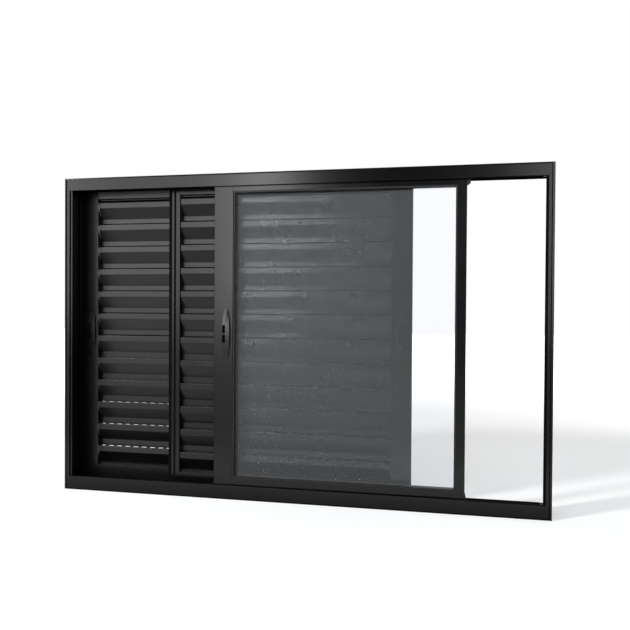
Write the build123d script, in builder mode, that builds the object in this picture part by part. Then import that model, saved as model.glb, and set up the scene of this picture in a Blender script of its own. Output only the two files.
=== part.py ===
from build123d import *
import os

os.makedirs("parts", exist_ok=True)

# Whole window: x from its left edge, y from the room face outwards, z from its base
frame_width = 1500.0
frame_height = 1000.0
frame_depth = 116.0

# Frame sections, all drawn aluminium
frame_wall = 2.0
lip_wall = 1.8
lip_depth = 5.0
jamb_border = 9.0           # flange and groove together, outside each jamb's lip
head_border = 5.0
sill_border = 5.0
jamb_groove = 2.8           # groove between the outer flange and the lip
head_groove = 2.0
flange_back = 1.4           # the flange stands this far behind the lip
flange_fall = 0.7           # and falls away by this much towards the frame's edge
jamb_lip = 8.0
jamb_track_lip = 7.0        # how far the first track's inner lip shows beside the jamb lip
head_face = 39.0            # frame height seen from the room
sill_face = 43.0
fin_wall = 2.4              # fins that part the tracks
fin_foot = 5.0              # widened edge of a fin, which holds the pile seal
foot_wall = 1.6
head_fin = 33.0             # fins hang this far below the top
head_rear_fin = 24.0
sill_fins = (34.0, 28.0)    # fin tops step down to the outside, so that rain drains away
sill_rear_fin = 18.0
rail_top = 12.0
rail_wall = 2.4
jamb_rib = 3.0
jamb_ribs = (14.0, 12.0, 8.0)
jamb_rear_leg = 8.0
screw_radius = 3.0
screw_spacing = 700.0

# Tracks
first_track = 21.5
track_pitch = 37.0

# Leaves
leaf_width = 758.0
leaf_thickness = 25.0
leaf_wall = 1.5
leaf_bottom = 17.0
leaf_top_gap = 15.0
front_leaf_x = 504.0
middle_leaf_x = 349.0
rear_leaf_x = 11.0
latch_stile = 60.0
meeting_stile = 26.0
top_rail = 39.0
bottom_rail = 47.5
rail_recess = 1.0           # rails sit this far behind the stile faces
rail_channel = 20.0         # depth of the top rail's open channel
stile_round = 1.0
stile_groove = 14.0         # channel along the latch stile, which closes over the jamb rib
stile_groove_lip = 3.5
meeting_groove = 4.5
meeting_groove_depth = 6.0
meeting_groove_edge = 8.0
interlock_reach = 8.5       # fin along the middle leaf that closes on the leaf behind it

# Edge strips that hold the glass or the slats
bead = 5.0
glass_bead_recess = 2.0
slat_bead_recess = 11.0
bead_back = 2.0             # strips stop this far inside the leaf's outer face
bead_wall = 1.2
bead_joint = 0.3            # hairline between the strips at a corner
glass = 4.0
glass_rebate = 3.0

# Louvre slats
slat_count = 12
slat_sheet = 1.2
slat_recess = 3.5           # from the stile face to the lips
slat_clearance = 0.3
slat_upper_lip = 19.0
slat_lower_lip = 19.0
slat_corner = 2.0           # outer radius between shelf and lip
slat_bend = 6.0
slat_first_drop = 6.7       # from the upper strip to the first slat's shelf
slat_last_trim = 16.0       # length cut from the last slat
slat_end = 3.0              # how far a slat's end goes into its side strip
slat_joint = 0.4
seal_leg = 9.0              # leg of the upper strip that closes the gap behind the first shelf
vent_length = 18.0
vent_depth = 12.0
vent_pitch = 29.25
vent_margin = 3.0           # between the last vent and the slat's end
vent_rim = 1.6              # between the vents and the shelf's rear edge
vented_slats = 6            # the lower slats, in which the shelves have vents

# Latches
latch_length = 154.0
latch_width = 26.0
latch_end_width = 12.0
latch_crown = 8.0
latch_end_height = 2.2
latch_edge = 1.0
latch_centre_x = 39.0       # from the latch stile's outer edge
latch_centre_z = 508.0
slot_side = 2.6             # wall between the finger slots and the latch's edge
finger_width = 9.5
finger_height = 25.0
finger_floor = 1.6
finger_bridge = 3.4
grip_width = 5.0
grip_length = 34.0
grip_rise = 1.0
grip_offset = 3.0           # from the latch's centre line, towards the leaf
grip_top = 5.0

# Roller carriages and end guides
wheel_radius = 10.0
wheel_width = 6.0
carriage_length = 44.0
carriage_height = 18.0
carriage_gap = 2.0          # above the wheel
carriage_inset = 95.0
guide_reach = 10.0
guide_thickness = 15.0
guide_top_height = 41.0
guide_taper = 7.0
guide_foot_reach = 6.0
guide_foot_height = 47.0
guide_foot_taper = 30.0

# Places worked out from the sizes above
left = -frame_width / 2
front = -frame_depth / 2
jamb_face = jamb_border + jamb_lip
leaf_top = frame_height - leaf_top_gap
leaf_height = leaf_top - leaf_bottom
light_bottom = leaf_bottom + bottom_rail + bead
light_top = leaf_top - top_rail - bead
light_height = light_top - light_bottom
slat_pitch = (light_height - slat_first_drop + slat_last_trim) / slat_count
slat_shelves = [light_top - slat_first_drop - n * slat_pitch for n in range(slat_count)]
track_y = [front + first_track + n * track_pitch for n in range(3)]
fin_y = [y + track_pitch / 2 for y in track_y[:2]]
rear = front + frame_depth


def wall(a0, a1, b0, b1, mode=Mode.ADD):
    """One straight wall of a section, from a0 to a1 and from b0 to b1."""
    with Locations(((a0 + a1) / 2, (b0 + b1) / 2)):
        Rectangle(abs(a1 - a0), abs(b1 - b0), mode=mode)


def footed_fin(y, z_root, z_edge):
    """A fin from the frame's wall to its widened edge."""
    foot = foot_wall if z_edge < z_root else -foot_wall
    wall(y - fin_wall / 2, y + fin_wall / 2, min(z_root, z_edge), max(z_root, z_edge))
    wall(y - fin_foot / 2, y + fin_foot / 2, min(z_edge, z_edge + foot), max(z_edge, z_edge + foot))


def save(build, name):
    """Names a finished piece and writes it."""
    build.part.label = name
    export_step(build.part, f"parts/{name}.step")


# Outer flange round the whole frame, mitred at its corners and shared out to the members below
edge_y = front + flange_back + flange_fall
flange_opening = (frame_width - 2 * (jamb_border - jamb_groove),
                  frame_height - head_border - sill_border + 2 * head_groove)
opening_middle = (0, (frame_height - head_border + sill_border) / 2)
with BuildPart() as flange:
    with BuildSketch(Plane.XZ.offset(-(front + lip_depth))):
        with Locations((0, frame_height / 2)):
            Rectangle(frame_width, frame_height)
    extrude(amount=front + lip_depth - edge_y)
    with BuildSketch(Plane.XZ.offset(-edge_y)):
        with Locations((0, frame_height / 2)):
            Rectangle(frame_width, frame_height)
    with BuildSketch(Plane.XZ.offset(-(front + flange_back))):
        with Locations(opening_middle):
            Rectangle(*flange_opening)
    loft()
    with BuildSketch(Plane.XZ.offset(-(front + lip_depth))):
        with Locations(opening_middle):
            Rectangle(*flange_opening)
    extrude(amount=lip_depth, mode=Mode.SUBTRACT)

# Head: flange, groove, lip towards the room, top wall, and fins that hang between the tracks
head_low = frame_height - head_face
lip_top = frame_height - head_border
with BuildPart() as head_track:
    add(flange.part)
    with BuildSketch(Plane.XY.offset(head_low)):
        Rectangle(frame_width - 2 * jamb_face, frame_depth)
    extrude(amount=head_face, mode=Mode.INTERSECT)
    with BuildSketch(Plane.YZ.offset(left + jamb_face)):
        wall(front, front + lip_wall, head_low, lip_top)
        wall(front, front + lip_depth, lip_top - lip_wall, lip_top)
    extrude(amount=frame_width - 2 * jamb_face)
    with BuildSketch(Plane.YZ.offset(left + jamb_face + jamb_track_lip)):
        wall(front + lip_depth, front + lip_depth + lip_wall, lip_top - lip_wall, frame_height - frame_wall)
    extrude(amount=frame_width - 2 * (jamb_face + jamb_track_lip))
    with BuildSketch(Plane.YZ.offset(left + frame_wall)):
        wall(front + lip_depth, rear, frame_height - frame_wall, frame_height)
        for y in fin_y:
            footed_fin(y, frame_height - frame_wall, frame_height - head_fin)
        wall(rear - frame_wall, rear, frame_height - head_rear_fin, frame_height - frame_wall)
    extrude(amount=frame_width - 2 * frame_wall)
save(head_track, "head_track")

# Sill: flange, groove, lip towards the room, floor, roller rails, and fins that step down to the outside
with BuildPart() as sill_track:
    add(flange.part)
    with BuildSketch(Plane.XY):
        Rectangle(frame_width - 2 * jamb_face, frame_depth)
    extrude(amount=sill_face, mode=Mode.INTERSECT)
    with BuildSketch(Plane.YZ.offset(left + jamb_face)):
        wall(front, front + lip_wall, sill_border, sill_face)
        wall(front, front + lip_depth, sill_border, sill_border + lip_wall)
    extrude(amount=frame_width - 2 * jamb_face)
    with BuildSketch(Plane.YZ.offset(left + jamb_face + jamb_track_lip)):
        wall(front + lip_depth, front + lip_depth + lip_wall, frame_wall, sill_border + lip_wall)
    extrude(amount=frame_width - 2 * (jamb_face + jamb_track_lip))
    with BuildSketch(Plane.YZ.offset(left + frame_wall)):
        wall(front + lip_depth, rear, 0, frame_wall)
        for y in track_y:
            wall(y - rail_wall / 2, y + rail_wall / 2, frame_wall, rail_top)
        for y, top in zip(fin_y, sill_fins):
            footed_fin(y, frame_wall, top)
        wall(rear - frame_wall, rear, frame_wall, sill_rear_fin)
    extrude(amount=frame_width - 2 * frame_wall)
save(sill_track, "sill_track")

# Jambs: full height, with both corners of the flange, a lip to the room and one rib for each track
with BuildPart() as left_jamb:
    add(flange.part)
    with BuildSketch(Plane.XY):
        wall(left, left + jamb_face, front, rear)
    extrude(amount=frame_height, mode=Mode.INTERSECT)
    with BuildSketch(Plane.XY):
        wall(left, left + frame_wall, front + lip_depth, rear)
    extrude(amount=frame_height)
    with BuildSketch(Plane.XY.offset(sill_border)):
        wall(left + jamb_border, left + jamb_face, front, front + lip_wall)
        wall(left + jamb_border, left + jamb_border + lip_wall, front, front + lip_depth)
        wall(left + jamb_face - lip_wall, left + jamb_face, front, front + lip_depth)
    extrude(amount=lip_top - sill_border)
    with BuildSketch(Plane.XY.offset(frame_wall)):
        wall(left + frame_wall, left + jamb_face + jamb_track_lip, front + lip_depth, front + lip_depth + lip_wall)
    extrude(amount=frame_height - 2 * frame_wall)
    with BuildSketch(Plane.XY.offset(rail_top)):
        for y, reach in zip(track_y, jamb_ribs):
            wall(left + frame_wall, left + reach, y - jamb_rib / 2, y + jamb_rib / 2)
    extrude(amount=frame_height - frame_wall - rail_top)
    with BuildSketch(Plane.XY.offset(sill_rear_fin)):
        wall(left + frame_wall, left + jamb_rear_leg, rear - frame_wall, rear)
    extrude(amount=frame_height - head_rear_fin - sill_rear_fin)
    with BuildSketch(Plane.YZ.offset(left)):
        with Locations((fin_y[0], frame_height / 2)):
            with GridLocations(1, screw_spacing, 1, 2):
                Circle(screw_radius)
    extrude(amount=frame_wall, mode=Mode.SUBTRACT)
save(left_jamb, "left_jamb")

with BuildPart() as right_jamb:
    add(left_jamb.part.mirror(Plane.YZ))
save(right_jamb, "right_jamb")

# One slat, folded from a sheet: shelf at height zero, upper lip on y = 0, slope, and a lower lip
# that drops behind the next slat's shelf
slat_depth = leaf_thickness - 2 * slat_recess
slat_length = leaf_width - latch_stile - meeting_stile - 2 * bead + 2 * slat_end
vent_count = 1 + int((slat_length - 2 * vent_margin - vent_length) / vent_pitch)
shelf_back = slat_depth - slat_sheet - slat_joint
with BuildPart() as slat:
    with BuildSketch(Plane.YZ.offset(-slat_length / 2)) as section:
        with BuildLine():
            t = slat_sheet
            knee = -slat_upper_lip
            heel = slat_lower_lip - slat_pitch
            foot = -slat_pitch - t
            d = slat_depth
            Polyline((shelf_back, 0), (0, 0), (0, knee), (d - t, heel), (d - t, foot),
                     (d, foot), (d, heel + t / 2), (t, knee + t / 2), (t, -t), (shelf_back, -t), close=True)
        make_face()
        levels = section.vertices().group_by(Axis.Y)
        fillet([bend[0] for bend in levels[1:5]], slat_bend)
        fillet(section.vertices().group_by(Axis.Y)[-1].sort_by(Axis.X)[0], slat_corner)
        fillet(section.vertices().filter_by_position(Axis.Y, -1.5 * t, -t / 2).sort_by(Axis.X)[0], slat_corner - t)
    extrude(amount=slat_length)

with BuildPart() as vented_slat:
    add(slat.part)
    with BuildSketch(Plane.XY):
        with Locations((0, shelf_back - vent_rim - vent_depth / 2)):
            with GridLocations(vent_pitch, 1, vent_count, 1):
                Rectangle(vent_length, vent_depth)
    extrude(amount=-slat_sheet, mode=Mode.SUBTRACT)


def leaf_pieces(name, start, track, latch_left, glazed, interlock):
    """All pieces of one leaf. u runs across it from the latch edge, v from its room face."""
    face = track_y[track] - leaf_thickness / 2
    hand = 1 if latch_left else -1
    edge = left + start if latch_left else left + start + leaf_width
    stile_in = latch_stile
    stile_out = leaf_width - meeting_stile

    def across(u0, u1, v0, v1, mode=Mode.ADD):
        """A wall of an upright section."""
        x = sorted((edge + hand * u0, edge + hand * u1))
        wall(x[0], x[1], face + v0, face + v1, mode)

    def along(z0, z1, v0, v1, mode=Mode.ADD):
        """A wall of a level section."""
        wall(face + v0, face + v1, z0, z1, mode)

    # Latch stile: hollow, with a channel along its edge that closes over the jamb rib
    with BuildPart() as stile:
        with BuildSketch(Plane.XY.offset(leaf_bottom)):
            across(0, latch_stile, 0, leaf_thickness)
            across(stile_groove + leaf_wall, latch_stile - leaf_wall, leaf_wall, leaf_thickness - leaf_wall,
                   Mode.SUBTRACT)
            across(leaf_wall, stile_groove, leaf_wall, leaf_thickness - leaf_wall, Mode.SUBTRACT)
            across(0, leaf_wall, leaf_wall + stile_groove_lip, leaf_thickness - leaf_wall - stile_groove_lip,
                   Mode.SUBTRACT)
        extrude(amount=leaf_height)
        chamfer(stile.edges().filter_by(Axis.Z).group_by(Axis.Y)[0], stile_round)
    save(stile, f"{name}_latch_stile")

    # Meeting stile: hollow, grooved on the room side where shutters pass, with a fin between two shutters
    with BuildPart() as narrow:
        with BuildSketch(Plane.XY.offset(leaf_bottom)):
            across(stile_out, leaf_width, 0, leaf_thickness)
            across(stile_out + leaf_wall, leaf_width - leaf_wall, leaf_wall, leaf_thickness - leaf_wall,
                   Mode.SUBTRACT)
            if not glazed:
                groove = leaf_width - meeting_groove_edge
                across(groove - meeting_groove - leaf_wall, groove + leaf_wall, 0, meeting_groove_depth + leaf_wall)
                across(groove - meeting_groove, groove, 0, meeting_groove_depth, Mode.SUBTRACT)
            if interlock:
                across(leaf_width, leaf_width + interlock_reach, leaf_thickness - leaf_wall, leaf_thickness)
        extrude(amount=leaf_height)
    save(narrow, f"{name}_meeting_stile")

    # Top rail: open channel above a hollow
    v_front = rail_recess
    v_back = leaf_thickness - rail_recess
    rail_length = stile_out - stile_in
    rail_start = min(edge + hand * stile_in, edge + hand * stile_out)
    with BuildPart() as upper:
        with BuildSketch(Plane.YZ.offset(rail_start)):
            along(leaf_top - top_rail, leaf_top, v_front, v_back)
            along(leaf_top - rail_channel, leaf_top, v_front + leaf_wall, v_back - leaf_wall, Mode.SUBTRACT)
            along(leaf_top - top_rail + leaf_wall, leaf_top - rail_channel - leaf_wall,
                  v_front + leaf_wall, v_back - leaf_wall, Mode.SUBTRACT)
        extrude(amount=rail_length)
    save(upper, f"{name}_top_rail")

    # Bottom rail: open channel below a hollow, where the roller carriages sit
    carriage_top = rail_top + 2 * wheel_radius + carriage_gap
    with BuildPart() as lower:
        with BuildSketch(Plane.YZ.offset(rail_start)):
            along(leaf_bottom, leaf_bottom + bottom_rail, v_front, v_back)
            along(leaf_bottom, carriage_top, v_front + leaf_wall, v_back - leaf_wall, Mode.SUBTRACT)
            along(carriage_top + leaf_wall, leaf_bottom + bottom_rail - leaf_wall,
                  v_front + leaf_wall, v_back - leaf_wall, Mode.SUBTRACT)
        extrude(amount=rail_length)
    save(lower, f"{name}_bottom_rail")

    # Roller carriages, each with its wheel on the sill rail
    with BuildPart() as carriages:
        for u in (carriage_inset, leaf_width - carriage_inset):
            x = edge + hand * u
            with BuildSketch(Plane.XZ.offset(-(face + v_back - leaf_wall))):
                wall(x - carriage_length / 2, x + carriage_length / 2, carriage_top - carriage_height, carriage_top)
            extrude(amount=v_back - v_front - 2 * leaf_wall)
            with BuildSketch(Plane.XZ.offset(-(track_y[track] + wheel_width / 2))):
                with Locations((x, rail_top + wheel_radius)):
                    Circle(wheel_radius)
            extrude(amount=wheel_width)
    save(carriages, f"{name}_rollers")

    # Edge strips: rebated round the glass, or channels and angles that close the slats' edges
    light_in = stile_in + bead
    light_out = stile_out - bead
    recess = glass_bead_recess if glazed else slat_bead_recess
    strip_back = leaf_thickness - bead_back
    with BuildPart() as strips:
        for z0, cut0 in ((light_bottom - bead, light_bottom - bead + bead_wall), (light_top, light_top)):
            with BuildSketch(Plane.YZ.offset(rail_start)):
                along(z0, z0 + bead, recess, strip_back)
                if not glazed:
                    along(cut0, cut0 + bead - bead_wall, recess + bead_wall, strip_back - bead_wall, Mode.SUBTRACT)
            extrude(amount=rail_length)
        if not glazed:
            with BuildSketch(Plane.YZ.offset(rail_start + bead + bead_joint)):
                along(light_top - seal_leg, light_top + bead_wall, strip_back - bead_wall, strip_back)
            extrude(amount=rail_length - 2 * bead - 2 * bead_joint)
        for u0, wall0 in ((stile_in, stile_in), (light_out, stile_out - bead_wall)):
            with BuildSketch(Plane.XY.offset(light_bottom + bead_joint)):
                if glazed:
                    across(u0, u0 + bead, recess, strip_back)
                else:
                    across(u0, u0 + bead, strip_back - bead_wall, strip_back)
                    across(wall0, wall0 + bead_wall, recess, strip_back)
            extrude(amount=light_height - 2 * bead_joint)
        if glazed:
            with BuildSketch(Plane.XZ.offset(-(track_y[track] + glass / 2))):
                x = sorted((edge + hand * light_in, edge + hand * light_out))
                wall(x[0] - glass_rebate, x[1] + glass_rebate, light_bottom - glass_rebate, light_top + glass_rebate)
            extrude(amount=glass, mode=Mode.SUBTRACT)
    save(strips, f"{name}_bead")

    # Clear pane, or the stack of slats
    if glazed:
        with BuildPart() as pane:
            with BuildSketch(Plane.XZ.offset(-(track_y[track] + glass / 2))):
                x = sorted((edge + hand * light_in, edge + hand * light_out))
                wall(x[0] - glass_rebate, x[1] + glass_rebate, light_bottom - glass_rebate, light_top + glass_rebate)
            extrude(amount=glass)
        save(pane, f"{name}_glass")
    else:
        middle_x = edge + hand * (light_in + light_out) / 2
        with BuildPart() as slats:
            places = [(middle_x, face + slat_recess, z) for z in slat_shelves]
            with Locations(places[:-vented_slats]):
                add(slat.part)
            with Locations(places[-vented_slats:]):
                add(vented_slat.part)
            with BuildSketch(Plane.XY.offset(light_bottom - bead + bead_wall + slat_clearance)):
                wall(left, -left, front, rear)
            extrude(amount=-slat_pitch, mode=Mode.SUBTRACT)
        save(slats, f"{name}_slats")

    # Latch: crowned boat shape on the stile face, with two finger slots on its outer side
    mid = edge + hand * latch_centre_x
    up = hand
    half = latch_length / 2
    end = latch_end_width / 2
    side = latch_width / 2
    with BuildPart() as shell:
        with BuildSketch(Plane.XZ.offset(-face)):
            with BuildLine():
                ThreePointArc((mid - end, latch_centre_z + half), (mid - side, latch_centre_z),
                              (mid - end, latch_centre_z - half))
                Line((mid - end, latch_centre_z - half), (mid + end, latch_centre_z - half))
                ThreePointArc((mid + end, latch_centre_z - half), (mid + side, latch_centre_z),
                              (mid + end, latch_centre_z + half))
                Line((mid + end, latch_centre_z + half), (mid - end, latch_centre_z + half))
            make_face()
        extrude(amount=latch_crown)
        with BuildSketch(Plane.YZ.offset(mid - side)):
            with BuildLine():
                Line((face, latch_centre_z + half), (face, latch_centre_z - half))
                Line((face, latch_centre_z - half), (face - latch_end_height, latch_centre_z - half))
                ThreePointArc((face - latch_end_height, latch_centre_z - half), (face - latch_crown, latch_centre_z),
                              (face - latch_end_height, latch_centre_z + half))
                Line((face - latch_end_height, latch_centre_z + half), (face, latch_centre_z + half))
            make_face()
        extrude(amount=latch_width, mode=Mode.INTERSECT)
        chamfer(shell.faces().filter_by(GeomType.CYLINDER).sort_by(Axis.Y)[0].edges(), latch_edge)
        finger_u = -hand * (side - slot_side - finger_width / 2)
        with BuildSketch(Plane.XZ.offset(-(face - finger_floor))):
            for z in (-1, 1):
                with Locations((mid + finger_u, latch_centre_z + z * (finger_height + finger_bridge) / 2)):
                    Rectangle(finger_width, finger_height)
        extrude(amount=latch_crown, mode=Mode.SUBTRACT)
    save(shell, f"{name}_latch_shell")

    # Thumb grip that slides along the latch
    grip_x = mid + hand * grip_offset
    grip_z = latch_centre_z + up * (half - grip_top - grip_length / 2)
    with BuildPart() as grip:
        with BuildSketch(Plane.XZ.offset(-(face - latch_end_height))):
            with Locations((grip_x, grip_z)):
                SlotOverall(grip_length, grip_width, rotation=90)
        extrude(amount=latch_crown - latch_end_height + grip_rise)
        add(shell.part, mode=Mode.SUBTRACT)
    save(grip, f"{name}_latch_grip")

    # End guides on the meeting stile, which steer the leaf in its track
    far = edge + hand * leaf_width
    with BuildPart() as guides:
        with BuildSketch(Plane.XZ.offset(-(track_y[track] + guide_thickness / 2))):
            with BuildLine():
                Polyline((far, leaf_top), (far + hand * guide_reach, leaf_top),
                         (far + hand * guide_reach, leaf_top - guide_top_height + guide_taper),
                         (far, leaf_top - guide_top_height), close=True)
            make_face()
            with BuildLine():
                Polyline((far, leaf_bottom), (far + hand * guide_foot_reach, leaf_bottom),
                         (far + hand * guide_foot_reach, leaf_bottom + guide_foot_height - guide_foot_taper),
                         (far, leaf_bottom + guide_foot_height), close=True)
            make_face()
        extrude(amount=guide_thickness)
    save(guides, f"{name}_end_guides")


leaf_pieces("front_leaf", front_leaf_x, track=0, latch_left=True, glazed=True, interlock=False)
leaf_pieces("middle_leaf", middle_leaf_x, track=1, latch_left=False, glazed=False, interlock=True)
leaf_pieces("rear_leaf", rear_leaf_x, track=2, latch_left=True, glazed=False, interlock=False)
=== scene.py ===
import bpy, bmesh, math
from mathutils import Matrix, Vector


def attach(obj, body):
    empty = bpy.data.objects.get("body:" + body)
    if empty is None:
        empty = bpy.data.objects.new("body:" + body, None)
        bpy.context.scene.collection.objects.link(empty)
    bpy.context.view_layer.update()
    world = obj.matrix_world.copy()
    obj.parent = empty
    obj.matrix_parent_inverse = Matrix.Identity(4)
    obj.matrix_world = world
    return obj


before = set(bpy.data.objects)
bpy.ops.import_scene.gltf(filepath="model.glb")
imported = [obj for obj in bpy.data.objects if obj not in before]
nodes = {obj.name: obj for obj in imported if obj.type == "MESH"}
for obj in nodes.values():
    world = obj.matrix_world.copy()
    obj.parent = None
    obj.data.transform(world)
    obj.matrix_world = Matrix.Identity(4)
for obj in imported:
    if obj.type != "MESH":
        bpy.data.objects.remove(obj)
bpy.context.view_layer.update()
print("frame loaded,", len(nodes), "nodes")

# lengths are in metres; the camera stands in the room, right of the middle, and looks a little to the left
camera = {"place": (0.461, -1.984, 0.594), "yaw": -11.383, "pitch": -0.736, "roll": 0.36,
          "lens": 37.73, "sensor": 36, "far": 60}


def makeCamera():
    data = bpy.data.cameras.new("camera")
    data.sensor_width = camera["sensor"]
    data.lens = camera["lens"]
    data.clip_end = camera["far"]
    cam = bpy.data.objects.new("camera", data)
    bpy.context.scene.collection.objects.link(cam)
    turn = Matrix.Rotation(math.radians(-camera["yaw"]), 4, "Z")
    tilt = Matrix.Rotation(math.radians(90 + camera["pitch"]), 4, "X")
    roll = Matrix.Rotation(math.radians(camera["roll"]), 4, "Z")
    cam.matrix_world = Matrix.Translation(camera["place"]) @ turn @ tilt @ roll
    bpy.context.scene.camera = cam


makeCamera()
print("camera set")


def newMaterial(name):
    mat = bpy.data.materials.new(name)
    mat.use_nodes = True
    tree = mat.node_tree
    tree.nodes.clear()
    out = tree.nodes.new("ShaderNodeOutputMaterial")
    out.location = (600, 0)
    return mat, tree, out


def addNode(tree, kind, at=(0, 0), **settings):
    node = tree.nodes.new(kind)
    node.location = at
    for key, value in settings.items():
        setattr(node, key, value)
    return node


def setInputs(node, **values):
    # an underscore stands for the blank in a socket's name
    for key, value in values.items():
        node.inputs[key.replace("_", " ")].default_value = value


# floorFar: distances over which the floor turns to the background's white
# floorStrip: y where the floor's shine starts to rise, is full, starts to fade and has faded
studio = {
    "worldSeen": 1.0, "worldGloss": 1.0, "worldDiffuse": 0.0,
    "floorSize": 26, "floorColor": (0.66, 0.66, 0.662), "floorRoughness": 0.9, "floorSpecular": 0.1,
    "floorGlow": 0.43, "floorGloss": 0.35, "floorShine": 1.35,
    "floorFar": (1.5, 4.5), "floorStrip": (-0.07, -0.32, -0.50, -1.00),
    "keySoft": {"centre": (-4.0, -3.4, 3.6), "size": (0.7, 0.7), "radiance": 190.0},
    "frontSoft": {"centre": (0.3, -5.0, 3.2), "size": (7.0, 4.0), "radiance": 2.0, "color": (0.85, 0.93, 1.0)},
    "skySoft": {"centre": (0.0, 0.5, 6.0), "size": (9.0, 9.0), "radiance": 0.85, "target": (0, 0.5, 0)},
}
# soft walls of light that the satin paint reflects; stops are x against radiance
frontWall = {"y": -4.2, "x": (-5.5, 4.5), "z": (0.0, 3.4), "peak": 20.0,
             "stops": ((-5.5, 0.05), (-4.5, 0.1), (-3.75, 11.0), (-3.3, 7.0), (-2.9, 5.2), (-1.75, 5.4), (-1.5, 8.5),
                       (-1.36, 20.0), (-1.13, 20.0), (-0.99, 4.0), (-0.80, 0.35), (-0.35, 0.03), (0.36, 0.03),
                       (0.52, 0.4), (0.78, 0.4), (0.98, 0.7), (1.25, 5.0), (1.6, 7.0), (3.2, 5.5), (4.5, 3.0)),
             "rise": (0.02, 0.85), "low": 0.12}
backWall = {"y": 3.4, "x": (-4.5, 4.5), "z": (0.0, 4.2), "peak": 6.0,
            "stops": ((-4.5, 1.0), (-2.5, 3.0), (-0.4, 1.0), (0.8, 2.6), (1.9, 6.0), (3.0, 2.5), (4.5, 1.0)),
            "rise": (0.05, 2.2), "low": 0.25}


def softLight(name, centre, size, radiance, target=(0, 0, 0.5), color=(1, 1, 1)):
    data = bpy.data.lights.new(name, "AREA")
    data.color = color
    data.shape = "RECTANGLE"
    data.size, data.size_y = size
    data.energy = radiance * math.pi * size[0] * size[1]
    lamp = bpy.data.objects.new(name, data)
    bpy.context.scene.collection.objects.link(lamp)
    aim = Vector(target) - Vector(centre)
    lamp.matrix_world = Matrix.Translation(centre) @ aim.to_track_quat("-Z", "Y").to_matrix().to_4x4()
    lamp.visible_camera = False
    return lamp


def stageObject(name, bm, mat):
    mesh = bpy.data.meshes.new(name)
    bm.to_mesh(mesh)
    bm.free()
    obj = bpy.data.objects.new(name, mesh)
    bpy.context.scene.collection.objects.link(obj)
    mesh.materials.append(mat)
    return obj


def rayLevel(tree, at, seen, gloss, rest, glossFrom=None):
    # one strength for rays from the camera or through glass, one for reflections, one for the rest
    path = addNode(tree, "ShaderNodeLightPath", at)
    direct = addNode(tree, "ShaderNodeMath", (at[0] + 180, at[1] + 80), operation="MAXIMUM")
    tree.links.new(path.outputs["Is Camera Ray"], direct.inputs[0])
    tree.links.new(path.outputs["Is Transmission Ray"], direct.inputs[1])
    shine = addNode(tree, "ShaderNodeMix", (at[0] + 180, at[1] - 120), data_type="FLOAT")
    setInputs(shine, A=rest, B=gloss)
    if glossFrom:
        tree.links.new(glossFrom, shine.inputs["B"])
    tree.links.new(path.outputs["Is Glossy Ray"], shine.inputs["Factor"])
    level = addNode(tree, "ShaderNodeMix", (at[0] + 360, at[1]), data_type="FLOAT")
    level.inputs["B"].default_value = seen
    tree.links.new(direct.outputs[0], level.inputs["Factor"])
    tree.links.new(shine.outputs["Result"], level.inputs["A"])
    return level.outputs["Result"]


def makeWorld():
    world = bpy.data.worlds.new("studio")
    bpy.context.scene.world = world
    world.use_nodes = True
    tree = world.node_tree
    tree.nodes.clear()
    out = addNode(tree, "ShaderNodeOutputWorld", (400, 0))
    glow = addNode(tree, "ShaderNodeBackground", (200, 0))
    glow.inputs["Color"].default_value = (1, 1, 1, 1)
    level = rayLevel(tree, (-400, 0), studio["worldSeen"], studio["worldGloss"], studio["worldDiffuse"])
    tree.links.new(level, glow.inputs["Strength"])
    tree.links.new(glow.outputs[0], out.inputs[0])


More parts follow.
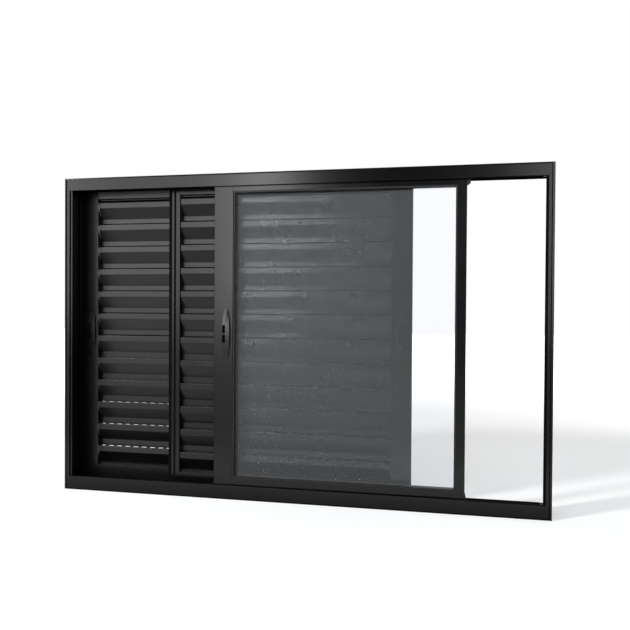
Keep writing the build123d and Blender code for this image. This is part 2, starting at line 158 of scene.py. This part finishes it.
def makeFloor():
    # the floor brightens to plain white away from the window, so that it has no horizon
    mat, tree, out = newMaterial("paleFloor")
    bsdf = addNode(tree, "ShaderNodeBsdfPrincipled", (200, 0))
    setInputs(bsdf, Base_Color=(*studio["floorColor"], 1), Roughness=studio["floorRoughness"],
              Specular_IOR_Level=studio["floorSpecular"])
    coord = addNode(tree, "ShaderNodeTexCoord", (-900, -400))
    reach = addNode(tree, "ShaderNodeVectorMath", (-700, -400), operation="LENGTH")
    tree.links.new(coord.outputs["Object"], reach.inputs[0])
    far = addNode(tree, "ShaderNodeMapRange", (-500, -400), interpolation_type="SMOOTHSTEP")
    setInputs(far, From_Min=studio["floorFar"][0], From_Max=studio["floorFar"][1])
    tree.links.new(reach.outputs["Value"], far.inputs["Value"])
    path = rayLevel(tree, (-500, -100), 1.0, 0.0, 0.0)
    white = addNode(tree, "ShaderNodeMath", (-300, -300), operation="MULTIPLY")
    tree.links.new(far.outputs["Result"], white.inputs[0])
    tree.links.new(path, white.inputs[1])
    split = addNode(tree, "ShaderNodeSeparateXYZ", (-700, 300))
    tree.links.new(coord.outputs["Object"], split.inputs[0])
    ahead = addNode(tree, "ShaderNodeMapRange", (-500, 400), interpolation_type="SMOOTHSTEP")
    setInputs(ahead, From_Min=studio["floorStrip"][0], From_Max=studio["floorStrip"][1])
    tree.links.new(split.outputs["Y"], ahead.inputs["Value"])
    beyond = addNode(tree, "ShaderNodeMapRange", (-500, 650), interpolation_type="SMOOTHSTEP")
    setInputs(beyond, From_Min=studio["floorStrip"][3], From_Max=studio["floorStrip"][2])
    tree.links.new(split.outputs["Y"], beyond.inputs["Value"])
    strip = addNode(tree, "ShaderNodeMath", (-320, 500), operation="MULTIPLY")
    tree.links.new(ahead.outputs["Result"], strip.inputs[0])
    tree.links.new(beyond.outputs["Result"], strip.inputs[1])
    shine = addNode(tree, "ShaderNodeMapRange", (-150, 500))
    setInputs(shine, To_Min=studio["floorGloss"], To_Max=studio["floorShine"])
    tree.links.new(strip.outputs[0], shine.inputs["Value"])
    near = rayLevel(tree, (-300, 200), studio["floorGlow"], 1.0, 0.0, shine.outputs["Result"])
    glow = addNode(tree, "ShaderNodeMath", (0, -200), operation="ADD")
    tree.links.new(white.outputs[0], glow.inputs[0])
    tree.links.new(near, glow.inputs[1])
    setInputs(bsdf, Emission_Color=(1, 1, 1, 1))
    tree.links.new(glow.outputs[0], bsdf.inputs["Emission Strength"])
    tree.links.new(bsdf.outputs[0], out.inputs[0])
    bm = bmesh.new()
    bmesh.ops.create_grid(bm, x_segments=1, y_segments=1, size=studio["floorSize"] / 2)
    floor = stageObject("floor", bm, mat)
    floor.visible_diffuse = False  # its glow stays out of the glass's veil


def makeLightWall(name, use):
    x0, x1 = use["x"]
    z0, z1 = use["z"]
    mat, tree, out = newMaterial(name)
    coord = addNode(tree, "ShaderNodeTexCoord", (-900, 0))
    split = addNode(tree, "ShaderNodeSeparateXYZ", (-700, 0))
    tree.links.new(coord.outputs["Object"], split.inputs[0])
    across = addNode(tree, "ShaderNodeMapRange", (-500, 100))
    setInputs(across, From_Min=x0, From_Max=x1)
    tree.links.new(split.outputs["X"], across.inputs["Value"])
    ramp = addNode(tree, "ShaderNodeValToRGB", (-300, 100))
    ramp.color_ramp.interpolation = "EASE"
    while len(ramp.color_ramp.elements) < len(use["stops"]):
        ramp.color_ramp.elements.new(1.0)
    for element, (x, radiance) in zip(ramp.color_ramp.elements, use["stops"]):
        element.position = (x - x0) / (x1 - x0)
        level = radiance / use["peak"]
        element.color = (level, level, level, 1)
    tree.links.new(across.outputs["Result"], ramp.inputs["Fac"])
    height = addNode(tree, "ShaderNodeMapRange", (-500, -200), interpolation_type="SMOOTHSTEP")
    setInputs(height, From_Min=use["rise"][0], From_Max=use["rise"][1], To_Min=use["low"], To_Max=1.0)
    tree.links.new(split.outputs["Z"], height.inputs["Value"])
    strength = addNode(tree, "ShaderNodeMath", (-100, -200), operation="MULTIPLY")
    strength.inputs[1].default_value = use["peak"]
    tree.links.new(height.outputs["Result"], strength.inputs[0])
    glow = addNode(tree, "ShaderNodeEmission", (200, 0))
    tree.links.new(ramp.outputs["Color"], glow.inputs["Color"])
    tree.links.new(strength.outputs[0], glow.inputs["Strength"])
    tree.links.new(glow.outputs[0], out.inputs[0])
    bm = bmesh.new()
    bmesh.ops.create_grid(bm, x_segments=1, y_segments=1, size=0.5)
    bmesh.ops.scale(bm, vec=(x1 - x0, z1 - z0, 1), verts=bm.verts)
    bmesh.ops.rotate(bm, cent=(0, 0, 0), matrix=Matrix.Rotation(math.radians(90), 3, "X"), verts=bm.verts)
    bmesh.ops.translate(bm, vec=((x0 + x1) / 2, use["y"], (z0 + z1) / 2), verts=bm.verts)
    wall = stageObject(name, bm, mat)
    # it shows in reflections only
    wall.visible_camera = wall.visible_diffuse = wall.visible_transmission = wall.visible_shadow = False


def makeStudio():
    makeWorld()
    makeFloor()
    makeLightWall("frontWall", frontWall)
    makeLightWall("backWall", backWall)
    for name in ("keySoft", "frontSoft", "skySoft"):
        lamp = softLight(name, **studio[name])
        lamp.visible_glossy = name == "keySoft"  # the one glint in the paint
    bpy.context.scene.view_settings.view_transform = "Standard"


makeStudio()
print("studio set")


def makeGroup(name, inputs, outputs):
    group = bpy.data.node_groups.new(name, "ShaderNodeTree")
    for label, kind, value in inputs:
        socket = group.interface.new_socket(label, in_out="INPUT", socket_type=kind)
        socket.default_value = value
    for label, kind in outputs:
        group.interface.new_socket(label, in_out="OUTPUT", socket_type=kind)
    start = addNode(group, "NodeGroupInput", (-900, 0))
    end = addNode(group, "NodeGroupOutput", (700, 0))
    return group, start, end


coatUse = {"cloudScale": 7.0, "cloudDetail": 4.0, "cloudRoughness": 0.6, "cloudSpan": (0.35, 0.7),
           "peelDetail": 2.0, "peelRoughness": 0.5}


def makePowderCoat():
    # fine orange peel and faint clouds of a baked powder coat
    use = coatUse
    group, start, end = makeGroup("powderCoat", [
        ("Color", "NodeSocketColor", (0.02, 0.02, 0.02, 1)), ("Cloud Color", "NodeSocketColor", (0.03, 0.03, 0.03, 1)),
        ("Roughness", "NodeSocketFloat", 0.4), ("Spread", "NodeSocketFloat", 0.08),
        ("Peel Size", "NodeSocketFloat", 900.0), ("Peel Depth", "NodeSocketFloat", 1.0)],
        [("Color", "NodeSocketColor"), ("Roughness", "NodeSocketFloat"), ("Height", "NodeSocketFloat")])
    links = group.links
    coord = addNode(group, "ShaderNodeTexCoord", (-900, -300))
    cloud = addNode(group, "ShaderNodeTexNoise", (-600, 200))
    setInputs(cloud, Scale=use["cloudScale"], Detail=use["cloudDetail"], Roughness=use["cloudRoughness"])
    peel = addNode(group, "ShaderNodeTexNoise", (-600, -200))
    setInputs(peel, Detail=use["peelDetail"], Roughness=use["peelRoughness"])
    links.new(coord.outputs["Object"], cloud.inputs["Vector"])
    links.new(coord.outputs["Object"], peel.inputs["Vector"])
    links.new(start.outputs["Peel Size"], peel.inputs["Scale"])
    mix = addNode(group, "ShaderNodeMix", (-200, 250), data_type="RGBA")
    ramp = addNode(group, "ShaderNodeMapRange", (-400, 300))
    setInputs(ramp, From_Min=use["cloudSpan"][0], From_Max=use["cloudSpan"][1])
    links.new(cloud.outputs["Fac"], ramp.inputs["Value"])
    links.new(ramp.outputs["Result"], mix.inputs["Factor"])
    links.new(start.outputs["Color"], mix.inputs["A"])
    links.new(start.outputs["Cloud Color"], mix.inputs["B"])
    links.new(mix.outputs["Result"], end.inputs["Color"])
    centred = addNode(group, "ShaderNodeMath", (-200, 0), operation="SUBTRACT")
    centred.inputs[1].default_value = 0.5  # the middle of the noise
    links.new(cloud.outputs["Fac"], centred.inputs[0])
    spread = addNode(group, "ShaderNodeMath", (0, 0), operation="MULTIPLY_ADD")
    links.new(centred.outputs[0], spread.inputs[0])
    links.new(start.outputs["Spread"], spread.inputs[1])
    links.new(start.outputs["Roughness"], spread.inputs[2])
    links.new(spread.outputs[0], end.inputs["Roughness"])
    deep = addNode(group, "ShaderNodeMath", (0, -200), operation="MULTIPLY")
    links.new(peel.outputs["Fac"], deep.inputs[0])
    links.new(start.outputs["Peel Depth"], deep.inputs[1])
    links.new(deep.outputs[0], end.inputs["Height"])
    return group


dustUse = {"facing": (0.55, 0.98), "patchScale": 26.0, "patchDetail": 5.0, "patchRoughness": 0.65,
           "patchSpan": (0.3, 0.75), "patchLow": 0.35, "roughness": 0.95}


def makeDust():
    # thin dust on what faces up, thicker in patches
    use = dustUse
    group, start, end = makeGroup("settledDust", [
        ("Color", "NodeSocketColor", (0.02, 0.02, 0.02, 1)), ("Roughness", "NodeSocketFloat", 0.4),
        ("Dust Color", "NodeSocketColor", (0.32, 0.31, 0.29, 1)), ("Amount", "NodeSocketFloat", 0.12)],
        [("Color", "NodeSocketColor"), ("Roughness", "NodeSocketFloat")])
    links = group.links
    geo = addNode(group, "ShaderNodeNewGeometry", (-900, -300))
    split = addNode(group, "ShaderNodeSeparateXYZ", (-700, -300))
    links.new(geo.outputs["Normal"], split.inputs[0])
    upward = addNode(group, "ShaderNodeMapRange", (-500, -300))
    setInputs(upward, From_Min=use["facing"][0], From_Max=use["facing"][1])
    links.new(split.outputs["Z"], upward.inputs["Value"])
    coord = addNode(group, "ShaderNodeTexCoord", (-900, -550))
    patches = addNode(group, "ShaderNodeTexNoise", (-700, -550))
    setInputs(patches, Scale=use["patchScale"], Detail=use["patchDetail"], Roughness=use["patchRoughness"])
    links.new(coord.outputs["Object"], patches.inputs["Vector"])
    ramp = addNode(group, "ShaderNodeMapRange", (-500, -550))
    setInputs(ramp, From_Min=use["patchSpan"][0], From_Max=use["patchSpan"][1], To_Min=use["patchLow"])
    links.new(patches.outputs["Fac"], ramp.inputs["Value"])
    both = addNode(group, "ShaderNodeMath", (-300, -400), operation="MULTIPLY")
    links.new(upward.outputs["Result"], both.inputs[0])
    links.new(ramp.outputs["Result"], both.inputs[1])
    amount = addNode(group, "ShaderNodeMath", (-120, -400), operation="MULTIPLY")
    links.new(both.outputs[0], amount.inputs[0])
    links.new(start.outputs["Amount"], amount.inputs[1])
    mix = addNode(group, "ShaderNodeMix", (100, 100), data_type="RGBA")
    links.new(amount.outputs[0], mix.inputs["Factor"])
    links.new(start.outputs["Color"], mix.inputs["A"])
    links.new(start.outputs["Dust Color"], mix.inputs["B"])
    links.new(mix.outputs["Result"], end.inputs["Color"])
    rough = addNode(group, "ShaderNodeMapRange", (300, -100))
    links.new(amount.outputs[0], rough.inputs["Value"])
    links.new(start.outputs["Roughness"], rough.inputs["To Min"])
    rough.inputs["To Max"].default_value = use["roughness"]
    links.new(rough.outputs["Result"], end.inputs["Roughness"])
    return group


powderCoat = makePowderCoat()
settledDust = makeDust()
print("shader groups made")


finishes = {
    "framePaint": {"color": 0.0015, "cloud": 0.0022, "roughness": 0.19, "spread": 0.04, "specular": 0.18, "dust": 0.02},
    "leafPaint": {"color": 0.0015, "cloud": 0.0022, "roughness": 0.21, "spread": 0.04, "specular": 0.185, "dust": 0.02},
    # painted light: shinier copies of the leaf and slat paints brighten the rear leaf
    "rearLitPaint": {"color": 0.0015, "cloud": 0.0022, "roughness": 0.28, "spread": 0.05, "specular": 0.28, "dust": 0.02},
    # painted light: a shinier copy of the leaf paint lights the rear leaf's top rail, whose reflection the head keeps
    # dark
    "railLitPaint": {"color": 0.002, "cloud": 0.003, "roughness": 0.38, "spread": 0.06, "specular": 0.55,
                       "dust": 0.02},
    "screwZinc": {"color": 0.02, "cloud": 0.03, "roughness": 0.32, "spread": 0.08, "specular": 0.5, "dust": 0.03},
    "slatPaint": {"color": 0.003, "cloud": 0.004, "roughness": 0.27, "spread": 0.05, "specular": 0.20, "dust": 0.02},
    "rearLitSlatPaint": {"color": 0.003, "cloud": 0.004, "roughness": 0.29, "spread": 0.06, "specular": 0.25,
                      "dust": 0.02},
    "latchPlastic": {"color": 0.004, "cloud": 0.006, "roughness": 0.25, "spread": 0.04, "specular": 0.26, "dust": 0.02},
    "guideNylon": {"color": 0.009, "cloud": 0.012, "roughness": 0.45, "spread": 0.05, "specular": 0.30, "dust": 0.03},
    # matte black for real pile and for painted shade in joints, grooves, cups and along lip edges
    "blackPileAndShade": {"color": 0.0012, "cloud": 0.003, "roughness": 0.85, "spread": 0.10, "specular": 0.05, "dust": 0.02},
    "beadRubber": {"color": 0.004, "cloud": 0.006, "roughness": 0.55, "spread": 0.08, "specular": 0.22, "dust": 0.04},
}
# scale and depth of the orange peel or the fibres; all other finishes have the paint's
paintPeel = (900.0, 1.0)
otherPeel = {"latchPlastic": (2400.0, 0.5), "guideNylon": (1800.0, 0.6),
             "beadRubber": (1400.0, 0.8), "blackPileAndShade": (2600.0, 4.0)}
bumpUse = {"strength": 0.12, "distance": 0.0002}


def makeFinish(name):
    use = finishes[name]
    peelSize, peelDepth = otherPeel.get(name, paintPeel)
    mat, tree, out = newMaterial(name)
    bsdf = addNode(tree, "ShaderNodeBsdfPrincipled", (300, 0))
    setInputs(bsdf, Specular_IOR_Level=use["specular"])
    coat = addNode(tree, "ShaderNodeGroup", (-300, 100), node_tree=powderCoat)
    setInputs(coat, Color=(*([use["color"]] * 3), 1), Cloud_Color=(*([use["cloud"]] * 3), 1),
              Roughness=use["roughness"], Spread=use["spread"], Peel_Size=peelSize, Peel_Depth=peelDepth)
    dust = addNode(tree, "ShaderNodeGroup", (0, 100), node_tree=settledDust)
    setInputs(dust, Amount=use["dust"])
    bump = addNode(tree, "ShaderNodeBump", (0, -250))
    setInputs(bump, Strength=bumpUse["strength"], Distance=bumpUse["distance"])
    tree.links.new(coat.outputs["Color"], dust.inputs["Color"])
    tree.links.new(coat.outputs["Roughness"], dust.inputs["Roughness"])
    tree.links.new(dust.outputs["Color"], bsdf.inputs["Base Color"])
    tree.links.new(dust.outputs["Roughness"], bsdf.inputs["Roughness"])
    tree.links.new(coat.outputs["Height"], bump.inputs["Height"])
    tree.links.new(bump.outputs["Normal"], bsdf.inputs["Normal"])
    tree.links.new(bsdf.outputs[0], out.inputs[0])
    return mat


# clear: the share that passes straight through; the rest is the grey veil, partly painted reflection
glassUse = {"color": (0.98, 0.99, 1.0), "clear": 0.92, "roughness": 0.0, "ior": 1.0, "specular": 0.5,
            "film": 0.05, "filmRoughness": 0.4, "tint": (0.97, 0.98, 1.0)}


def makeGlass():
    # float glass whose grey veil is partly the thin film that handling leaves on it and partly painted reflection, in
    # place of the pane's mirror reflection that IOR 1.0 turns off
    mat, tree, out = newMaterial("clearGlass")
    bsdf = addNode(tree, "ShaderNodeBsdfPrincipled", (0, 100))
    setInputs(bsdf, Base_Color=(*glassUse["color"], 1), Roughness=glassUse["roughness"], IOR=glassUse["ior"],
              Transmission_Weight=glassUse["clear"], Specular_IOR_Level=glassUse["specular"],
              Coat_Weight=glassUse["film"], Coat_Roughness=glassUse["filmRoughness"])
    through = addNode(tree, "ShaderNodeBsdfTransparent", (0, -300))
    through.inputs[0].default_value = (*glassUse["tint"], 1)
    # light and the other pieces' shadows pass the pane
    path = addNode(tree, "ShaderNodeLightPath", (-200, 400))
    bounced = addNode(tree, "ShaderNodeMath", (0, 400), operation="MAXIMUM")
    passing = addNode(tree, "ShaderNodeMath", (150, 300), operation="MAXIMUM")
    tree.links.new(path.outputs["Is Glossy Ray"], bounced.inputs[0])
    tree.links.new(path.outputs["Is Diffuse Ray"], bounced.inputs[1])
    tree.links.new(bounced.outputs[0], passing.inputs[0])
    tree.links.new(path.outputs["Is Shadow Ray"], passing.inputs[1])
    mix = addNode(tree, "ShaderNodeMixShader", (300, 0))
    tree.links.new(passing.outputs[0], mix.inputs[0])
    tree.links.new(bsdf.outputs[0], mix.inputs[1])
    tree.links.new(through.outputs[0], mix.inputs[2])
    tree.links.new(mix.outputs[0], out.inputs[0])
    return mat


materials = {name: makeFinish(name) for name in finishes}
materials["clearGlass"] = makeGlass()


def dress(node, name):
    obj = nodes[node]
    obj.data.materials.clear()
    obj.data.materials.append(materials[name])


for node in nodes:
    if node in ("head_track", "sill_track", "left_jamb", "right_jamb"):
        dress(node, "framePaint")
    # painted light: the rear leaf's slats take a shinier copy of the slat paint
    elif node == "rear_leaf_slats":
        dress(node, "rearLitSlatPaint")
    elif node == "middle_leaf_slats":
        dress(node, "slatPaint")
    elif node.endswith("_glass"):
        dress(node, "clearGlass")
    elif node.endswith(("_latch_shell", "_latch_grip")):
        dress(node, "latchPlastic")
    elif node.endswith(("_end_guides", "_rollers")):
        dress(node, "guideNylon")
    # painted light: the rear leaf's top rail takes the shinier copy of the leaf paint
    elif node == "rear_leaf_top_rail":
        dress(node, "railLitPaint")
    # painted light: the rear leaf's latch stile and bottom rail take a shinier copy of the leaf paint
    elif node in ("rear_leaf_latch_stile", "rear_leaf_bottom_rail"):
        dress(node, "rearLitPaint")
    elif node == "front_leaf_bead":
        dress(node, "beadRubber")
    else:
        dress(node, "leafPaint")
print("finishes assigned")


# where the CAD has the leaves, the slats' shelves and the clear width between the edge strips
leaves = {"front_leaf": {"face": -0.049, "left": -0.246, "right": 0.512, "latchLeft": True},
          "middle_leaf": {"face": -0.012, "left": -0.401, "right": 0.357, "latchLeft": False},
          "rear_leaf": {"face": 0.025, "left": -0.739, "right": 0.019, "latchLeft": True}}
slats = {"first": 0.9343, "pitch": 0.0734, "count": 12}
stiles = {"latch": 0.065, "meeting": 0.031}  # with their edge strips
shelves = [slats["first"] - n * slats["pitch"] for n in range(slats["count"])]


def lightSpan(leaf):
    # the clear width between a leaf's edge strips
    use = leaves[leaf]
    if use["latchLeft"]:
        return use["left"] + stiles["latch"], use["right"] - stiles["meeting"]
    return use["left"] + stiles["meeting"], use["right"] - stiles["latch"]


def addBar(bm, low, high, bevel=0.0):
    # a bar between two corners with softened long edges
    made = bmesh.ops.create_cube(bm, size=1.0)
    size = [b - a for a, b in zip(low, high)]
    middle = [(a + b) / 2 for a, b in zip(low, high)]
    bmesh.ops.scale(bm, vec=size, verts=made["verts"])
    bmesh.ops.translate(bm, vec=middle, verts=made["verts"])
    if bevel:
        longest = size.index(max(size))
        edges = {e for v in made["verts"] for e in v.link_edges
                 if abs(e.verts[0].co[longest] - e.verts[1].co[longest]) > 1e-6}
        bmesh.ops.bevel(bm, geom=list(edges), offset=bevel, offset_type="OFFSET", segments=2, profile=0.5,
                        affect="EDGES", material=-1)


def finishPiece(name, bm, material):
    bmesh.ops.recalc_face_normals(bm, faces=bm.faces)
    mesh = bpy.data.meshes.new(name)
    bm.to_mesh(mesh)
    bm.free()
    obj = bpy.data.objects.new(name, mesh)
    bpy.context.scene.collection.objects.link(obj)
    mesh.materials.append(materials[material])
    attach(obj, "root")


# painted shade drawn as matte black strips: line in the joints of the upper slats, gap behind the upper strip, and the
# last strip under the top rail
# their depths are counted from the leaf's face
slatShadeUse = {"lineSlats": (1, 7), "line": (0.0062, 0.0076), "lineHeight": 0.0028,
           "gap": (0.012, 0.0128), "gapLift": 0.0002, "gapTop": 0.941, "gapEdge": 0.0002,
           "railShade": (0.0011, 0.0020), "railShadeHeight": 0.0016, "railShadeReach": 0.004, "rail": 0.946,
           "edge": 0.0003}


def makeSlatShade(leaf):
    # painted shade: black strips in the joints of the upper slats, behind the upper strip and under the top rail
    use, face = slatShadeUse, leaves[leaf]["face"]
    x0, x1 = lightSpan(leaf)
    bm = bmesh.new()
    y0, y1 = (face + depth for depth in use["line"])
    for n in range(*use["lineSlats"]):
        addBar(bm, (x0, y0, shelves[n]), (x1, y1, shelves[n] + use["lineHeight"]), use["edge"])
    y0, y1 = (face + depth for depth in use["gap"])
    addBar(bm, (x0, y0, shelves[0] + use["gapLift"]), (x1, y1, use["gapTop"]), use["gapEdge"])
    y0, y1 = (face + depth for depth in use["railShade"])
    addBar(bm, (x0 - use["railShadeReach"], y0, use["rail"] - use["railShadeHeight"]),
           (x1 + use["railShadeReach"], y1, use["rail"]), use["edge"])
    finishPiece(leaf + "_slat_shade_strips", bm, "blackPileAndShade")


ventShadeUse = {"below": 0.0012, "thick": 0.0006, "depth": (0.0058, 0.0188), "edge": 0.0001,
           "closed": {"middle_leaf": (6, 12), "rear_leaf": (6, 9)}}


def makeVentShade(leaf):
    # painted shade: thin plates slid under the vents let no light through, so the vents stay dark
    use, face = ventShadeUse, leaves[leaf]["face"]
    x0, x1 = lightSpan(leaf)
    y0, y1 = (face + depth for depth in use["depth"])
    bm = bmesh.new()
    for n in range(*use["closed"][leaf]):
        z = shelves[n] - use["below"]
        addBar(bm, (x0, y0, z - use["thick"]), (x1, y1, z), use["edge"])
    finishPiece(leaf + "_vent_shade_plates", bm, "slatPaint")


# each bar's low corner, high corner and edge radius
interlockUse = {"brush": ((-0.4118, -0.0105, 0.018), (-0.4010, -0.0055, 0.984), 0.0008),
                "strip": ((-0.4093, 0.0106, 0.017), (-0.4012, 0.0115, 0.985), 0.0003)}


def makeInterlockPile():
    # brush seal that stands out from the middle leaf's meeting stile, and the strip on its interlock fin
    bm = bmesh.new()
    for low, high, edge in interlockUse.values():
        addBar(bm, low, high, edge)
    finishPiece("middle_leaf_interlock_pile", bm, "blackPileAndShade")


grooveShadeUse = {"x": {"middle_leaf": (-0.3941, -0.3876), "rear_leaf": (0.0054, 0.0119)},
             "ahead": (0.0006, 0.0001), "z": (0.018, 0.984), "edge": 0.0002}


def makeGrooveShade():
    # painted shade: black strips in the grooves of the two louvred leaves' meeting stiles
    use = grooveShadeUse
    z0, z1 = use["z"]
    for leaf, (x0, x1) in use["x"].items():
        y0, y1 = (leaves[leaf]["face"] - ahead for ahead in use["ahead"])
        bm = bmesh.new()
        addBar(bm, (x0, y0, z0), (x1, y1, z1), use["edge"])
        finishPiece(leaf + "_groove_shade_strip", bm, "blackPileAndShade")


jambShadeUse = {"low": (0.7262, -0.0539, 0.044), "high": (0.7328, -0.053, 0.960), "edge": 0.0003}


def makeJambShade():
    # painted shade: a black strip beside the right jamb's lip
    bm = bmesh.new()
    addBar(bm, jambShadeUse["low"], jambShadeUse["high"], jambShadeUse["edge"])
    finishPiece("right_jamb_shade_strip", bm, "blackPileAndShade")


frameShadeUse = {"y": (-0.0542, -0.053), "edge": 0.0004, "jamb": (0.7410, 0.7438), "sill": (0.0030, 0.0050)}


def makeFrameGrooveShade():
    # painted shade: black strips in the groove between the frame's outer flange and its lips
    use = frameShadeUse
    bm = bmesh.new()
    y0, y1 = use["y"]
    for side in (-1, 1):
        xs = sorted(side * x for x in use["jamb"])
        addBar(bm, (xs[0], y0, use["sill"][1]), (xs[1], y1, 1 - use["sill"][1]), use["edge"])
    addBar(bm, (-use["jamb"][1], y0, use["sill"][0]), (use["jamb"][1], y1, use["sill"][1]), use["edge"])
    finishPiece("frame_groove_shade_strips", bm, "blackPileAndShade")


lipShadeUse = {"x": (0.5125, 0.7324), "y": (-0.0582, -0.0560), "edge": 0.0003,
           "head": (0.9602, 0.9630), "sill": (0.0414, 0.0450)}


def makeLipShade():
    # painted shade: black strips over the free edges of the head's and the sill's lips, beside the front leaf, darken
    # those edges
    use = lipShadeUse
    for name in ("head", "sill"):
        bm = bmesh.new()
        z0, z1 = use[name]
        addBar(bm, (use["x"][0], use["y"][0], z0), (use["x"][1], use["y"][1], z1), use["edge"])
        finishPiece(name + "_lip_shade_strip", bm, "blackPileAndShade")


# a fin is given by the y of its middle and by heights; half is half its thickness
# open: where the brushes start, beside the middle leaf; the legs are the frame's outer walls
finUse = {"reach": 0.724, "thick": 0.0008, "cap": 0.0006, "half": 0.0012, "edge": 0.0003,
          "head": ((-0.018, 0.9666, 0.984), (0.019, 0.9666, 0.984)), "headLeg": (0.056, 0.976, 0.990),
          "open": 0.3575, "brushHalf": 0.0010,
          "headBrush": (-0.018, 0.9602, 0.9668), "sillBrush": (-0.018, 0.0344, 0.0396),
          "sill": ((-0.018, 0.034), (0.019, 0.028)), "capDrop": 0.006, "sillLeg": (0.056, 0.0578, 0.018)}


def makeFinPileShade():
    # black wool pile on the head's fins and caps of it over the sill's fins; the pile also paints the shade inside the
    # tracks
    use = finUse
    reach, half, cap = use["reach"], use["half"], use["cap"]
    head, sill = bmesh.new(), bmesh.new()
    for bm, (y, z0, z1) in ((head, use["headBrush"]), (sill, use["sillBrush"])):
        addBar(bm, (use["open"], y - use["brushHalf"], z0), (reach, y + use["brushHalf"], z1), use["edge"])
    for y, z0, z1 in use["head"]:
        addBar(head, (-reach, y - half - use["thick"], z0), (reach, y - half, z1), use["edge"])
    y, z0, z1 = use["headLeg"]
    addBar(head, (-reach, y - use["thick"], z0), (reach, y, z1), use["edge"])
    for y, top in use["sill"]:
        foot = top - use["capDrop"]
        for y0, y1, z0, z1 in ((y - half - cap, y + half + cap, top, top + cap),
                               (y - half - cap, y - half, foot, top),
                               (y + half, y + half + cap, foot, top)):
            addBar(sill, (-reach, y0, z0), (reach, y1, z1))
    y0, y1, top = use["sillLeg"]
    addBar(sill, (-reach, y0, top), (reach, y1, top + cap))
    addBar(sill, (-reach, y0 - cap, top - use["capDrop"]), (reach, y0, top + cap))
    finishPiece("head_fin_pile_shade", head, "blackPileAndShade")
    finishPiece("sill_fin_shade_caps", sill, "blackPileAndShade")


cupShadeUse = {"floor": 0.0016, "wall": 0.0004, "depth": 0.0052, "edge": 0.0001, "from": 0.0286, "to": 0.0381,
          "heights": ((0.4815, 0.5061), (0.5099, 0.5345))}


def makeCupShade(leaf):
    # painted shade: matte black lining in the two finger cups of a latch
    use, place = cupShadeUse, leaves[leaf]
    if place["latchLeft"]:
        x0, x1 = place["left"] + use["from"], place["left"] + use["to"]
    else:
        x0, x1 = place["right"] - use["to"], place["right"] - use["from"]
    y1 = place["face"] - use["floor"]
    bm = bmesh.new()
    for z0, z1 in use["heights"]:
        addBar(bm, (x0, y1 - use["wall"], z0), (x1, y1, z1))
        for side in (x0, x1 - use["wall"]):
            addBar(bm, (side, y1 - use["depth"], z0), (side + use["wall"], y1 - use["wall"], z1), use["edge"])
    finishPiece(leaf + "_cup_shade_lining", bm, "blackPileAndShade")


screwUse = {"radius": 0.0046, "height": 0.0024, "segments": 24, "turn": 7.5, "edge": 0.0009, "rim": 0.0008,
            "crossDepth": 0.0014, "armWidth": 0.42, "armStart": 0.0005,
            "y": -0.018, "heights": (0.15, 0.85), "jambX": 0.748}


def addScrewHead(bm, place, turn):
    # pan head with a cross recess, made lying flat in a mesh of its own and then turned into place
    use = screwUse
    head = bmesh.new()
    bmesh.ops.create_cone(head, cap_ends=True, segments=use["segments"], radius1=use["radius"],
                          radius2=use["radius"], depth=use["height"],
                          matrix=Matrix.Rotation(math.radians(use["turn"]), 4, "Z"))
    top = max(head.faces, key=lambda f: f.calc_center_median().z)
    bmesh.ops.bevel(head, geom=list(top.edges), offset=use["edge"], offset_type="OFFSET", segments=3,
                    profile=0.5, affect="EDGES", material=-1)
    top = max(head.faces, key=lambda f: (round(f.calc_center_median().z, 6), f.calc_area()))
    bmesh.ops.inset_region(head, faces=[top], thickness=use["rim"], depth=0.0)
    # the corners between the four arms move in, and the cross that is left sinks
    waist = [v for v in top.verts if min(abs(v.co.x), abs(v.co.y)) > use["armStart"]]
    bmesh.ops.scale(head, vec=(use["armWidth"], use["armWidth"], 1), verts=waist)
    sunk = bmesh.ops.extrude_face_region(head, geom=[top])
    floor = [g for g in sunk["geom"] if isinstance(g, bmesh.types.BMVert)]
    bmesh.ops.translate(head, vec=(0, 0, -use["crossDepth"]), verts=floor)
    if top.is_valid:
        bmesh.ops.delete(head, geom=[top], context="FACES_ONLY")
    bmesh.ops.transform(head, matrix=Matrix.Translation(place) @ turn, verts=head.verts)
    shape = bpy.data.meshes.new("screwHead")
    head.to_mesh(shape)
    head.free()
    bm.from_mesh(shape)
    bpy.data.meshes.remove(shape)


def makeJambScrews(side):
    # the frame fixings, seen inside each jamb between the first two ribs
    use = screwUse
    name = "left_jamb_screws" if side < 0 else "right_jamb_screws"
    bm = bmesh.new()
    for z in use["heights"]:
        place = (side * (use["jambX"] - use["height"] / 2), use["y"], z)
        addScrewHead(bm, place, Matrix.Rotation(math.radians(-90 * side), 4, "Y"))
    finishPiece(name, bm, "screwZinc")


for leaf in leaves:
    makeCupShade(leaf)
for side in (-1, 1):
    makeJambScrews(side)
print("cup linings and screws made")
for leaf in ("middle_leaf", "rear_leaf"):
    makeSlatShade(leaf)
    makeVentShade(leaf)
makeInterlockPile()
makeGrooveShade()
makeJambShade()
makeFrameGrooveShade()
makeFinPileShade()
makeLipShade()
print("seals made")
